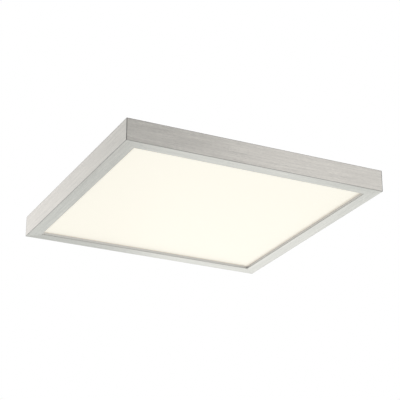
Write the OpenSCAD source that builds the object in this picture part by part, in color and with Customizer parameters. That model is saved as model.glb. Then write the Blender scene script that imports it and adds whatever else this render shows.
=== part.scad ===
// Square surface-mounted ceiling light. A mitred aluminium frame holds an edge-lit panel, and a
// steel pan closes its back and carries the driver. Leaf-spring catches on a ceiling plate hold
// the whole lamp up, and it pulls straight down to come off.
// Millimetres, +Z up. The origin is the centre of the wire hole in the plane of the ceiling, and
// everything hangs below z = 0. The driver is on the +Y side.
// In a rail's outline, the first coordinate is the depth in from the frame's outer face.

/* [Light] */
// Width of the square frame over its outer faces
light_w = 381; // [340:1:450]
// Depth of the light from the ceiling to the face of its rim
light_h = 31.5; // [28.5:0.5:45]
// Gap between the ceiling and the top of the frame
ceiling_gap = 0.5; // [0.3:0.1:2]

/* [Frame] */
// Thickness of the frame's side wall
wall_t = 2; // [1.5:0.1:2.8]
// Width of the rim round the diffuser
rim_w = 19; // [16:0.5:26]
// Thickness of the rim
rim_t = 2.4; // [1.8:0.1:3]
// Height from the face of the rim up to the diffuser
recess = 4; // [3.4:0.1:5]
// Thickness of the lip at the rim's inner edge, which carries the diffuser
lip_t = 1.6; // [1.2:0.1:2.5]
// Radius of the rim's outer and inner edges
edge_r = 0.5; // [0.2:0.1:0.7]
// Width of the corner keys' channel, between the side wall and the rib
channel_w = 6; // [5:0.5:7]
// Thickness of the rib that carries the pan and the LED boards
rib_t = 1.5; // [1.3:0.1:2]
// Width of the screw slot at the top of the channel
slot_w = 2.8; // [2.6:0.1:3.4]
// Depth of the screw slot
slot_h = 2.5; // [1.8:0.1:3]
// Gap between the mitred ends of two rails
mitre_gap = 0.1; // [0.05:0.05:0.4]

/* [Corner keys] */
// Length of a key's arm, from the frame's outer corner
key_arm = 42; // [34:1:48]
// Clearance between a key and the walls of its channel
key_clear = 0.2; // [0.1:0.05:0.4]
// Distance of a key's screw from the frame's outer corner
key_screw_at = 28; // [20:1:31]
// Radius of a key's screw
key_screw_r = 1.25; // [1:0.05:1.5]
// Radius of the screw's countersunk head
key_head_r = 2.35; // [1.9:0.05:2.4]
// Length of the screw
key_screw_l = 5; // [3.5:0.5:6]

/* [Panel] */
// Thickness of the opal diffuser
diffuser_t = 1.5; // [1.2:0.1:2.5]
// Gap between the diffuser's edge and the faces of the LEDs
diffuser_gap = 0.3; // [0.1:0.1:3]
// Thickness of the light guide plate
guide_t = 3; // [2:0.5:4]
// Gap between the LEDs and the edge of the light guide
guide_gap = 0.5; // [0.3:0.1:1]
// Thickness of the white reflector sheet
sheet_t = 0.3; // [0.2:0.05:0.5]
// Thickness of the foam sheet once the pan presses on it
foam_t = 1.7; // [1.3:0.1:3]
// Distance from the frame's outer face to the foam sheet
foam_in = 16; // [14:0.5:24]

/* [LED boards] */
// Thickness of an LED board with its tape
board_t = 1; // [0.8:0.1:1.2]
// Height of an LED board
board_h = 4.6; // [4:0.1:4.8]
// Distance from the frame's outer corner to the end of a board
board_end = 13; // [12.5:0.5:40]
// Length of an LED along the board
led_l = 3.5; // [2:0.5:5]
// Height of an LED
led_h = 2.8; // [2:0.2:3]
// How far an LED stands out from its board
led_t = 0.8; // [0.6:0.1:1]
// Distance from one LED to the next
led_pitch = 8; // [6:0.5:16]

/* [LED sockets] */
// Distance of the sockets and their leads from the middle of the light
socket_y = 135; // [128:1:145]
// Length of a socket along its board
socket_l = 7; // [6.2:0.1:9]
// How far a socket stands out from its board
socket_d = 7; // [5.5:0.5:9]
// Height of a socket
socket_h = 4.4; // [4:0.1:5]
// Wall of a socket
socket_t = 0.8; // [0.6:0.1:1]
// Clearance between a plug and its socket, and under the socket
plug_clear = 0.15; // [0.1:0.05:0.3]
// Length of the part of a plug that stands out of its socket
plug_out = 4; // [2:0.5:8]

/* [Back pan] */
// Thickness of the pan
pan_t = 0.8; // [0.6:0.1:1.2]
// Clearance between the pan and the side walls
pan_clear = 0.3; // [0.1:0.1:0.8]
// Distance from one pan screw to the next, three to a side
pan_screw_pitch = 120; // [80:1:122]
// Radius of the shanks of the driver's fixing screws
pan_screw_r = 1.35; // [1:0.05:1.6]
// Length of a pan screw under its head
pan_screw_l = 6; // [3.5:0.5:6]
// Radius of the heads of the pan screws and the driver's fixing screws
pan_head_r = 2.4; // [2:0.1:2.9]
// Height of those heads
pan_head_h = 1.8; // [1.4:0.1:2.2]
// Clearance between a screw or rivet and its hole or slot
hole_clear = 0.05; // [0.02:0.01:0.08]
// Width of a stiffening bead pressed in the pan
bead_w = 8; // [5:1:12]
// Height of a bead
bead_h = 1; // [0.6:0.1:1.5]
// Distance of the two long side beads from the middle
bead_x = 118; // [105:1:130]
// Distance of the front and back beads from the middle
bead_y = 152; // [147:1:158]
// Length of each bead
bead_l = 150; // [90:5:170]

/* [Driver] */
// Length of the driver
driver_l = 150; // [145:1:180]
// Width of the driver
driver_w = 42; // [39:1:50]
// Height of the driver above the pan
driver_h = 15; // [14.6:0.2:17]
// Distance from the middle of the light to the middle of the driver
driver_y = 95; // [90:1:104]
// Thickness of the driver's tray and cover
case_t = 0.8; // [0.6:0.1:1]
// Clearance between the tray and the cover
case_clear = 0.3; // [0.2:0.05:0.5]
// Length of the tray's feet beyond the cover
foot_l = 12; // [9:0.5:15]
// Height of the tray's sides
tray_side = 6; // [3:0.5:7]
// Height of the posts under the circuit board
post_h = 2.5; // [2:0.1:2.7]
// Radius of the posts
post_r = 2.4; // [2:0.1:3]
// Thickness of the circuit board
pcb_t = 1.6; // [1:0.1:1.6]
// Gap between the circuit board and the tray's sides
pcb_gap = 0.5; // [0.3:0.1:1.5]
// Distance of a board screw from the circuit board's edges
pcb_screw_in = 4; // [3.5:0.1:5]
// Height of the tall parts on the circuit board
part_h = 8.6; // [6:0.2:8.6]
// Width of a vent slot in the cover
vent_w = 3; // [1.5:0.1:5]
// Distance from one vent slot to the next
vent_pitch = 12; // [7:0.5:20]

/* [Leads] */
// Radius of a two-core lead
lead_r = 1.6; // [1.2:0.1:1.8]
// Distance over which a lead turns a corner
lead_bend = 9; // [7:0.5:10]
// Clearance round a lead in its clips
lead_clear = 0.1; // [0.05:0.05:0.2]
// Thickness of a clip's base and wall
clip_t = 0.8; // [0.6:0.1:1.2]
// Length of a clip along its lead
clip_l = 6; // [4:0.5:10]
// Length of a clip's base across its lead
clip_w = 12; // [9:0.5:16]
// Distance from the left plug to the nearest clip
clip_in = 22; // [8:1:40]
// Number of clips on the left lead, evenly spaced
left_clips = 5; // [3:1:8]

/* [Ceiling plate] */
// Width of the ceiling plate, over its flanges
plate_w = 120; // [110:1:140]
// Length of the ceiling plate
plate_l = 112; // [106:1:120]
// Thickness of the ceiling plate
plate_t = 1.5; // [1.2:0.1:2]
// Depth of the plate's flanges from the ceiling
flange_h = 9; // [8.4:0.2:11]
// Radius outside the plate's bends
plate_bend = 2.5; // [2.2:0.1:4]
// Distance between the middles of the two slots for the ceiling box's screws
box_pitch = 79.4; // [70:0.1:84]
// Length of a slot, end to end
box_slot_l = 14.6; // [8:0.1:16]
// Radius of the slots' ends, which is half their width
box_slot_r = 2.5; // [2:0.1:3]
// Distance between the anchor holes across the plate
anchor_x = 96; // [84:1:98]
// Distance between the anchor holes along the plate
anchor_y = 80; // [76:1:92]
// Radius of the anchor holes
anchor_r = 2.25; // [1.8:0.05:3]
// Radius inside the wire bushing
wire_r = 9.5; // [6:0.5:12]
// Wall of the bushing where it goes through the plate
bush_t = 1.4; // [1:0.1:2]
// Width of the bushing's flange beyond its hole in the plate
bush_lip = 2.2; // [1.5:0.1:4]
// Thickness of the bushing's flange
bush_lip_t = 1.5; // [1:0.1:2.5]
// Distance of the earth screw from the middle, the same both ways
earth_at = 27; // [24:1:29]
// Radius of the earth screw
earth_r = 2; // [1.5:0.1:2.5]
// Radius of the earth screw's head
earth_head_r = 4; // [3:0.1:4.5]
// Height of the earth screw's head
earth_head_h = 2.6; // [2:0.1:3.5]

/* [Catches] */
// Thickness of a leaf spring
spring_t = 0.6; // [0.4:0.05:0.8]
// Width of a leaf spring
spring_w = 12; // [8:0.5:16]
// Distance of each leaf spring from the middle of its flange
spring_at = 28; // [20:1:34]
// How far a spring's nose stands out from its leg
nose_reach = 4; // [3.5:0.1:5]
// How far the nose comes back in at its lower end
nose_back = 3; // [2:0.1:3.5]
// Radius outside the bend of the nose
nose_r = 1.5; // [1:0.1:2]
// How far a keeper's lip reaches over the nose
catch_hold = 2; // [1.4:0.1:2.6]
// Gap between the nose and the keeper's lip
catch_gap = 0.3; // [0.2:0.05:0.4]
// Gap between the nose's tip and the keeper's wall
nose_gap = 1.4; // [1.2:0.1:3]
// Height of the keepers above the pan
keeper_h = 9; // [8.6:0.1:10]
// Length of a keeper
keeper_l = 90; // [84:1:110]
// Thickness of a keeper
keeper_t = 1.2; // [1:0.1:1.6]
// Width of a keeper's foot on the pan
keeper_foot = 13; // [11:0.5:18]
// Distance from one keeper rivet to the next, three to a keeper
keeper_rivet_pitch = 34; // [24:1:36]
// Radius of the keepers' rivets
rivet_r = 1.6; // [1.2:0.1:2]
// Radius of the heads of the keepers' rivets
rivet_head_r = 2.8; // [2.4:0.1:3.2]
// Radius of the springs' rivets
leg_rivet_r = 1.3; // [1:0.1:1.7]
// Radius of the heads of the springs' rivets
leg_head_r = 2.3; // [1.9:0.1:2.9]
// Height of all the rivets' heads
rivet_head_h = 0.9; // [0.6:0.1:1.1]

/* [Hidden] */
$fn = 48;

// How far cuts and joined shapes reach past the surfaces they meet
lap = 0.4;

// Heights of the stack, from the rim up
z_rim = -light_h;
z_top = -ceiling_gap;
z_floor = z_rim + rim_t;
z_seat = z_rim + recess;
z_guide = z_seat + diffuser_t;
z_sheet = z_guide + guide_t;
z_foam = z_sheet + sheet_t;
z_ledge = z_foam + foam_t;
z_pan = z_ledge + pan_t;

// Depths in from the frame's outer face
half_w = light_w / 2;
rib_in = wall_t + channel_w;
rib_face = rib_in + rib_t;
slot_mid = wall_t + channel_w / 2;
shoulder_w = (channel_w - slot_w) / 2;
led_face = rib_face + board_t + led_t;
diffuser_in = led_face + diffuser_gap;
guide_in = led_face + guide_gap;

// Corner keys
key_in = wall_t + key_clear;
key_w = channel_w - 2 * key_clear;
key_h = z_ledge - slot_h - z_floor - key_clear;
key_mid = key_h / 2;
key_head_h = key_head_r - key_screw_r;

// LED boards, sockets and plugs, on the right-hand side
board_z = z_guide + guide_t / 2 - board_h / 2;
board_x = half_w - rib_face - board_t;
lead_z = z_pan + clip_t + lead_clear + lead_r;
socket_z = lead_z - socket_h / 2;
socket_x = board_x - socket_d;
plug_x = socket_x - plug_out;
plug_l = socket_l - 2 * socket_t - 2 * plug_clear;
plug_h = socket_h - 2 * socket_t - 2 * plug_clear;
plug_in = socket_d - socket_t - plug_clear;
tab_hole_gap = 0.8;

// Back pan
slot_screw_r = slot_w / 2 - hole_clear;

// Cross recess in the screw heads
recess_w = 0.6;
recess_d = 0.8;
recess_share = 0.55;

// A pan head's straight part, as a share of its height, and its top, as a share of its radius
head_straight = 0.6;
head_top = 0.72;

// Driver
case_x = driver_l / 2;
tray_w = driver_w - 2 * (case_t + case_clear);
z_tray = z_pan + case_t;
z_pcb = z_tray + post_h;
z_parts = z_pcb + pcb_t;
z_case = z_pan + driver_h;
pcb_end_gap = 1.5;
pcb_l = driver_l - 2 * (case_t + pcb_end_gap);
pcb_w = tray_w - 2 * (case_t + pcb_gap);
foot_x = case_x + foot_l / 2;
board_screw_r = 1.2;
board_head_r = 2.2;
board_head_h = 1.4;
mains_l = 16;
mains_w = 22;
mains_ways = 3;
output_l = 12;
output_w = 20;
terminal_out = 1;
way_pitch = 6.5;
way_r = 1.5;
way_depth = 9;
way_z = z_parts + part_h * 0.4;
key_slot = 2.4;
lead_pitch = 8;
lead_way_z = z_parts + part_h / 2;
window_gap = 0.3;
vents = floor((driver_l / 2 - 2 * mains_l) / vent_pitch);
core_x = 6;
core_l = 24;
core_w = 26;
core_leg = 4;
winding_gap = 0.2;
can_r = 4.2;
can_l = 20;
can_bead_r = 0.35;
can_groove = 3;
can_at = [-47, -37, 50];
choke_x = 34;
choke_r = 6;
choke_tube_r = 2.6;

// Leads, from the output terminal to the plugs
lead_start = case_x + terminal_out;
lead_straight = 1;
leads_apart = 15;
first_bend = lead_start + lead_bend + lead_straight;
left_turn = first_bend + 2 * lead_bend + lead_straight;
right_turn = left_turn + leads_apart;
clip_first = clip_in - plug_x;
clip_step = (lead_start - clip_first) / (left_clips - 1);
right_clip = (right_turn + lead_bend + plug_x) / 2;
clip_at = concat([for (k = [0:left_clips - 1]) clip_first + k * clip_step], [right_clip]);
lead_sides = 8;
bend_steps = 5;

// Ceiling plate and catches, on the right-hand side
flange_x = plate_w / 2;
leg_x = flange_x + spring_t;
tip_x = leg_x + nose_reach;
keeper_x = tip_x + nose_gap;
keeper_lip_x = tip_x - catch_hold;
keeper_top = z_pan + keeper_h;
keeper_lip_z = keeper_top - keeper_t;
nose_top = keeper_lip_z + keeper_lip_x - catch_gap * sqrt(2) - leg_x;
nose_mid = nose_top - nose_reach;
leg_gap = 0.5;
leg_top = -plate_bend - leg_gap;
leg_rivet_z = leg_top - leg_head_r;
bush_r = wire_r + bush_t;
bush_lip_r = bush_r + bush_lip;
bend_parts = 6;

// Colours
nickel = [0.74, 0.73, 0.70];
opal = [1.0, 0.98, 0.92];
zinc = [0.72, 0.74, 0.76];
white = [0.93, 0.93, 0.91];
nylon = [0.86, 0.85, 0.80];
copper = [0.72, 0.45, 0.25];

// Points round an arc, from angle a to angle b
function arc(centre, r, a, b) =
    [for (k = [0:bend_parts]) let (t = a + (b - a) * k / bend_parts)
        centre + r * [cos(t), sin(t)]];

function unit(v) = v / norm(v);

// A corner of a route, rounded over the distance d on both sides of p
function rounded_corner(a, p, b, d) =
    let (q = p + unit(a - p) * d, r = p + unit(b - p) * d)
    [for (k = [0:bend_steps]) let (s = k / bend_steps)
        (1 - s) * (1 - s) * q + 2 * s * (1 - s) * p + s * s * r];

function rounded_route(points, d) =
    [points[0],
     for (i = [1:len(points) - 2]) each rounded_corner(points[i - 1], points[i], points[i + 1], d),
     points[len(points) - 1]];

function along(path, i) =
    unit(path[min(i + 1, len(path) - 1)] - path[max(i - 1, 0)]);

// One tube round a path: a ring of points at each step, carried on without twisting
module tube(path, r, sides) {
    steps = len(path);
    firsts = [for (i = 0, n = unit(cross(along(path, 0), [0, 0, 1]));
                   i < steps;
                   i = i + 1, n = unit(n - along(path, min(i, steps - 1))
                                       * (n * along(path, min(i, steps - 1))))) n];
    points = [for (i = [0:steps - 1]) let (n = firsts[i], m = cross(along(path, i), n))
        for (k = [0:sides - 1]) let (t = 360 * k / sides)
            path[i] + r * (cos(t) * n + sin(t) * m)];
    faces = concat(
        [[for (k = [sides - 1:-1:0]) k]],
        [for (i = [0:steps - 2]) for (k = [0:sides - 1])
            let (a = i * sides + k, b = i * sides + (k + 1) % sides)
            each [[a, b, b + sides], [a, b + sides, a + sides]]],
        [[for (k = [0:sides - 1]) (steps - 1) * sides + k]]);
    polyhedron(points, [for (f = faces) [for (k = [len(f) - 1:-1:0]) f[k]]]);
}

// A box between two corners
module block(low, high) {
    translate(low) cube(high - low);
}

// A square plate centred on the light, set in from the frame's outer face
module panel(inset, z, t) {
    translate([inset - half_w, inset - half_w, z])
        cube([light_w - 2 * inset, light_w - 2 * inset, t]);
}

// The same piece on the left and on the right
module both_sides() {
    children();
    mirror([1, 0, 0]) children();
}

// A rod along X, from x to x + l
module rod_x(x, y, z, l, r) {
    translate([x, y, z]) rotate([0, 90, 0]) cylinder(h = l, r = r);
}

// A cross recess cut down from the top of a screw head, with arms of length r
module cross_recess(r) {
    for (turn = [0, 90]) {
        rotate(turn) translate([-r, -recess_w / 2, -recess_d])
            cube([2 * r, recess_w, recess_d + lap]);
    }
}

// A pan-head screw: the underside of its head is at z = 0 and its shank goes down
module pan_screw(shank_r, shank_l, head_r, head_h) {
    difference() {
        union() {
            translate([0, 0, -shank_l]) cylinder(h = shank_l + lap, r = shank_r);
            cylinder(h = head_h * head_straight, r = head_r);
            translate([0, 0, head_h * head_straight])
                cylinder(h = head_h * (1 - head_straight), r1 = head_r, r2 = head_r * head_top);
        }
        translate([0, 0, head_h]) cross_recess(head_r * recess_share);
    }
}

// Outline of a rail, with the depth in from its outer face along the first axis
module rail_outline() {
    translate([0, z_rim + edge_r]) square([wall_t, z_top - z_rim - edge_r]);
    translate([edge_r, z_rim]) square([rim_w - 2 * edge_r, rim_t]);
    translate([rim_w - lip_t, z_rim + edge_r]) square([lip_t, recess - edge_r]);
    for (u = [edge_r, rim_w - edge_r]) {
        translate([u, z_rim + edge_r]) circle(r = edge_r);
    }
    translate([rib_in, z_floor - lap]) square([rib_t, z_ledge - z_floor + lap]);
    translate([wall_t - lap, z_ledge - slot_h]) square([shoulder_w + lap, slot_h]);
    translate([rib_in - shoulder_w, z_ledge - slot_h]) square([shoulder_w + lap, slot_h]);
}

// A key's screw, with the face of its head at the origin and its shank along -Y
module key_screw(clear, length) {
    rotate([90, 0, 0]) {
        cylinder(h = key_head_h, r1 = key_head_r + clear, r2 = key_screw_r + clear);
        cylinder(h = length, r = key_screw_r + clear);
    }
}

// Places a key's screw at both ends of the front rail
module at_key_screws() {
    for (side = [-1, 1]) {
        translate([side * (half_w - key_screw_at), rib_face - half_w, z_floor + key_mid])
            children();
    }
}

// The front rail, turned to its side of the frame
module rail(turn) {
    half_gap = mitre_gap / sqrt(2);
    rotate(turn) difference() {
        intersection() {
            translate([-half_w, -half_w, 0]) rotate([90, 0, 90])
                linear_extrude(light_w) rail_outline();
            translate([0, 0, z_rim - lap]) linear_extrude(light_h + 2 * lap)
                polygon([[0, -half_gap], [-light_w + half_gap, -light_w],
                         [light_w - half_gap, -light_w]]);
        }
        at_key_screws() key_screw(hole_clear, rib_t + lap);
    }
}

module frame_front() { color(nickel) rail(0); }
module frame_right() { color(nickel) rail(90); }
module frame_back() { color(nickel) rail(180); }
module frame_left() { color(nickel) rail(270); }

// The front left key, turned to its corner
module corner_key(turn) {
    color("silver") rotate(turn) difference() {
        translate([-half_w, -half_w, z_floor]) {
            translate([key_in, key_in, 0]) cube([key_arm - key_in, key_w, key_h]);
            translate([key_in, key_in, 0]) cube([key_w, key_arm - key_in, key_h]);
        }
        translate([key_screw_at - half_w, rib_face - half_w, z_floor + key_mid])
            key_screw(hole_clear, key_screw_l + lap);
        translate([rib_face - half_w, key_screw_at - half_w, z_floor + key_mid])
            rotate(-90) key_screw(hole_clear, key_screw_l + lap);
    }
}

module corner_key_front_left() { corner_key(0); }
module corner_key_front_right() { corner_key(90); }
module corner_key_back_right() { corner_key(180); }
module corner_key_back_left() { corner_key(270); }

module corner_screws() {
    color(zinc) for (turn = [0:90:270]) {
        rotate(turn) at_key_screws() difference() {
            key_screw(0, key_screw_l);
            rotate([-90, 0, 0]) cross_recess(key_screw_r);
        }
    }
}

module diffuser() { color(opal) panel(diffuser_in, z_seat, diffuser_t); }
module light_guide() { color([0.85, 0.93, 0.95, 0.6]) panel(guide_in, z_guide, guide_t); }
module reflector_sheet() { color("white") panel(guide_in, z_sheet, sheet_t); }
module foam_sheet() { color("dimgray") panel(foam_in, z_foam, foam_t); }

// A stiffening bead, pressed up from below: raised and hollow, along Y
module bead(length, inset) {
    w = bead_w / 2 - inset;
    top = bead_h - inset;
    translate([0, length / 2, 0]) rotate([90, 0, 0]) linear_extrude(length)
        polygon([[-w, -lap], [-w, 0], [-w + bead_h, top], [w - bead_h, top], [w, 0], [w, -lap]]);
}

// Places each of the pan's beads, which run along Y where they are made
module at_beads() {
    for (side = [-1, 1]) {
        translate([side * bead_x, -bead_l / 4, 0]) children();
        translate([0, side * bead_y, 0]) rotate(90) children();
    }
}

module at_pan_screws() {
    for (turn = [0:90:270]) {
        for (x = [-pan_screw_pitch, 0, pan_screw_pitch]) {
            rotate(turn) translate([x, slot_mid - half_w, z_pan]) children();
        }
    }
}

module at_driver_screws() {
    for (side = [-1, 1]) {
        translate([side * foot_x, driver_y, z_pan]) children();
    }
}

module at_keeper_rivets() {
    for (side = [-1, 1]) {
        for (y = [-keeper_rivet_pitch, 0, keeper_rivet_pitch]) {
            translate([side * (keeper_x + keeper_foot / 2 + keeper_t / 2), y, z_pan]) children();
        }
    }
}

// Hole in the pan for the tab and socket of the right LED board
module tab_hole() {
    block([socket_x - tab_hole_gap, socket_y - socket_l / 2 - tab_hole_gap, z_ledge - lap],
          [half_w - rib_in, socket_y + socket_l / 2 + tab_hole_gap, z_pan + lap]);
}

module back_pan() {
    through = pan_t + 2 * lap;
    color(white) difference() {
        union() {
            panel(wall_t + pan_clear, z_ledge, pan_t);
            translate([0, 0, z_pan]) at_beads() bead(bead_l, 0);
        }
        translate([0, 0, z_ledge]) at_beads() bead(bead_l - 2 * pan_t, 0);
        at_pan_screws() translate([0, 0, -pan_t - lap])
            cylinder(h = through, r = slot_screw_r + hole_clear);
        at_driver_screws() translate([0, 0, -pan_t - lap])
            cylinder(h = through, r = pan_screw_r + hole_clear);
        at_keeper_rivets() translate([0, 0, -pan_t - lap])
            cylinder(h = through, r = rivet_r + hole_clear);
        both_sides() tab_hole();
    }
}

module pan_screws() {
    color(zinc) at_pan_screws() pan_screw(slot_screw_r, pan_screw_l, pan_head_r, pan_head_h);
}

// The right LED board: a strip against the rail's rib, with a tab up through the pan
module led_board() {
    color("whitesmoke") {
        block([board_x, board_end - half_w, board_z],
              [board_x + board_t, half_w - board_end, board_z + board_h]);
        block([board_x, socket_y - socket_l / 2, board_z],
              [board_x + board_t, socket_y + socket_l / 2, socket_z + socket_h]);
    }
}

module leds() {
    span = light_w - 2 * board_end - led_l;
    gaps = floor(span / led_pitch);
    color("gold") for (k = [0:gaps]) {
        translate([board_x - led_t, (k - gaps / 2) * led_pitch - led_l / 2,
                   z_guide + guide_t / 2 - led_h / 2])
            cube([led_t, led_l, led_h]);
    }
}

module led_socket() {
    hollow_l = socket_l / 2 - socket_t;
    hollow_h = socket_h / 2 - socket_t;
    color(nylon) difference() {
        block([socket_x, socket_y - socket_l / 2, socket_z],
              [board_x, socket_y + socket_l / 2, socket_z + socket_h]);
        block([socket_x - lap, socket_y - hollow_l, lead_z - hollow_h],
              [board_x - socket_t, socket_y + hollow_l, lead_z + hollow_h]);
    }
}

module led_plug() {
    color("ivory") {
        block([plug_x, socket_y - plug_l / 2, lead_z - plug_h / 2],
              [socket_x + plug_in, socket_y + plug_l / 2, lead_z + plug_h / 2]);
        block([plug_x, socket_y - socket_l / 2, lead_z - lead_r],
              [socket_x - plug_clear, socket_y + socket_l / 2, lead_z + lead_r]);
    }
}

module led_board_right() { led_board(); }
module led_board_left() { mirror([1, 0, 0]) led_board(); }
module leds_right() { leds(); }
module leds_left() { mirror([1, 0, 0]) leds(); }
module led_socket_right() { led_socket(); }
module led_socket_left() { mirror([1, 0, 0]) led_socket(); }
module led_plug_right() { led_plug(); }
module led_plug_left() { mirror([1, 0, 0]) led_plug(); }

// The left lead comes out of the driver's output end, turns back behind it and runs to the left
module lead_left() {
    y = driver_y + lead_pitch / 2;
    route = [[lead_start, y, lead_way_z],
             [first_bend, y, lead_way_z],
             [left_turn, y, lead_z],
             [left_turn, socket_y, lead_z],
             [-plug_x, socket_y, lead_z]];
    color("whitesmoke") tube(rounded_route(route, lead_bend), lead_r, lead_sides);
}

// The right lead goes straight on before it turns, outside the left one
module lead_right() {
    y = driver_y - lead_pitch / 2;
    route = [[lead_start, y, lead_way_z],
             [first_bend, y, lead_way_z],
             [right_turn, y, lead_z],
             [right_turn, socket_y, lead_z],
             [plug_x, socket_y, lead_z]];
    color("whitesmoke") tube(rounded_route(route, lead_bend), lead_r, lead_sides);
}

// A clip: a base on the pan and a ring round the lead
module lead_clips() {
    ring_r = lead_r + lead_clear + clip_t;
    color(nylon) for (x = clip_at) {
        difference() {
            union() {
                block([x - clip_l / 2, socket_y + ring_r - clip_w, z_pan],
                      [x + clip_l / 2, socket_y + ring_r, z_pan + clip_t]);
                block([x - clip_l / 2, socket_y - ring_r, z_pan],
                      [x + clip_l / 2, socket_y + ring_r, lead_z]);
                rod_x(x - clip_l / 2, socket_y, lead_z, clip_l, ring_r);
            }
            rod_x(x - clip_l / 2 - lap, socket_y, lead_z, clip_l + 2 * lap, lead_r + lead_clear);
        }
    }
}

module at_board_screws() {
    for (x = [-1, 1]) {
        for (y = [-1, 1]) {
            translate([x * (pcb_l / 2 - mains_l - pcb_screw_in),
                       driver_y + y * (pcb_w / 2 - pcb_screw_in), 0])
                children();
        }
    }
}

module driver_tray() {
    color("silver") difference() {
        union() {
            block([-case_x - foot_l, driver_y - tray_w / 2, z_pan],
                  [case_x + foot_l, driver_y + tray_w / 2, z_tray]);
            for (side = [-1, 1]) {
                translate([0, driver_y + side * (tray_w - case_t) / 2, z_pan + tray_side / 2])
                    cube([driver_l - 2 * (case_t + case_clear), case_t, tray_side], center = true);
            }
            at_board_screws() translate([0, 0, z_tray - lap]) cylinder(h = post_h + lap, r = post_r);
        }
        at_driver_screws() translate([0, 0, -lap])
            cylinder(h = case_t + 2 * lap, r = pan_screw_r + hole_clear);
        at_board_screws() translate([0, 0, z_tray + lap])
            cylinder(h = post_h + lap, r = board_screw_r + hole_clear);
        for (side = [-1, 1]) {
            for (corner = [-1, 1]) {
                translate([side * (case_x + foot_l), driver_y + corner * tray_w / 2, z_pan - lap])
                    rotate(45) translate([-foot_l / 2, -foot_l / 2, 0])
                        cube([foot_l, foot_l, case_t + 2 * lap]);
            }
        }
    }
}

// A terminal's window in an end of the cover
module window(side, width) {
    translate([side * case_x, driver_y, z_parts + part_h / 2])
        cube([4 * case_t, width + 2 * window_gap, part_h + 2 * window_gap], center = true);
}

module driver_cover() {
    low = z_tray + case_clear;
    color("gainsboro") difference() {
        union() {
            block([-case_x, driver_y - driver_w / 2, low],
                  [case_x, driver_y + driver_w / 2, z_case]);
            for (side = [-1, 1]) {
                translate([0, driver_y + side * (driver_w - case_t) / 2, (z_pan + low) / 2 + lap])
                    cube([driver_l, case_t, low - z_pan], center = true);
            }
        }
        block([case_t - case_x, driver_y - driver_w / 2 + case_t, z_pan - lap],
              [case_x - case_t, driver_y + driver_w / 2 - case_t, z_case - case_t]);
        window(-1, mains_w);
        window(1, output_w);
        for (k = [-vents:vents]) {
            translate([k * vent_pitch, driver_y, z_case])
                cube([vent_w, driver_w / 2, 4 * case_t], center = true);
        }
    }
}

module driver_board() {
    color("darkgreen") difference() {
        block([-pcb_l / 2, driver_y - pcb_w / 2, z_pcb], [pcb_l / 2, driver_y + pcb_w / 2, z_parts]);
        at_board_screws() translate([0, 0, z_pcb - lap])
            cylinder(h = pcb_t + 2 * lap, r = board_screw_r + hole_clear);
    }
}

module board_screws() {
    color(zinc) at_board_screws() translate([0, 0, z_parts])
        pan_screw(board_screw_r, pcb_t + post_h - lap, board_head_r, board_head_h);
}

module driver_screws() {
    color(zinc) at_driver_screws() translate([0, 0, case_t])
        pan_screw(pan_screw_r, case_t + pan_t, pan_head_r, pan_head_h);
}

// A pair of E-shaped ferrite halves: two outer legs, a centre leg and a back at each end
module transformer_core() {
    color("dimgray") translate([core_x, driver_y, z_parts]) {
        for (side = [-1, 1]) {
            translate([-core_l / 2, side * (core_w - core_leg) / 2 - core_leg / 2, 0])
                cube([core_l, core_leg, part_h]);
            translate([side * (core_l - core_leg) / 2 - core_leg / 2, -core_w / 2, 0])
                cube([core_leg, core_w, part_h]);
        }
        translate([-core_l / 2, -core_leg, 0]) cube([core_l, 2 * core_leg, part_h]);
    }
}

module transformer_winding() {
    inner = core_leg + winding_gap;
    outer = core_w / 2 - core_leg - winding_gap;
    length = core_l - 2 * core_leg - 2 * winding_gap;
    color("gold") translate([core_x, driver_y, z_parts]) for (side = [-1, 1]) {
        translate([-length / 2, side * (inner + outer) / 2 - (outer - inner) / 2, 0])
            cube([length, outer - inner, part_h]);
    }
}

// Electrolytic cans that lie across the board, each with a groove near one end
module capacitors() {
    color("darkslateblue") for (x = can_at) {
        translate([x, driver_y, z_parts + can_r]) rotate([90, 0, 0]) difference() {
            cylinder(h = can_l, r = can_r, center = true);
            translate([0, 0, can_l / 2 - can_groove]) rotate_extrude()
                translate([can_r, 0]) circle(r = can_bead_r);
        }
    }
}

module choke() {
    color(copper) translate([choke_x, driver_y, z_parts + choke_tube_r]) rotate_extrude()
        translate([choke_r, 0]) circle(r = choke_tube_r);
}

// Three push-in ways in the mains end, each with a release slot above it
module mains_terminal() {
    x = -case_x - terminal_out;
    color("orange") difference() {
        block([x, driver_y - mains_w / 2, z_parts], [x + mains_l, driver_y + mains_w / 2, z_parts + part_h]);
        for (k = [0:mains_ways - 1]) {
            y = driver_y + (k - (mains_ways - 1) / 2) * way_pitch;
            rod_x(x - lap, y, way_z, way_depth + lap, way_r);
            translate([x - lap, y - key_slot / 2, z_parts + part_h - key_slot / 2])
                cube([way_depth, key_slot, key_slot]);
        }
    }
}

// Two ways in the output end; each lead's end is seated in one
module output_terminal() {
    x = case_x + terminal_out;
    color("orange") difference() {
        block([x - output_l, driver_y - output_w / 2, z_parts],
              [x, driver_y + output_w / 2, z_parts + part_h]);
        for (side = [-1, 1]) {
            y = driver_y + side * lead_pitch / 2;
            translate([x - way_depth, y - key_slot / 2, z_parts + part_h - key_slot / 2])
                cube([way_depth + lap, key_slot, key_slot]);
        }
    }
}

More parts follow.
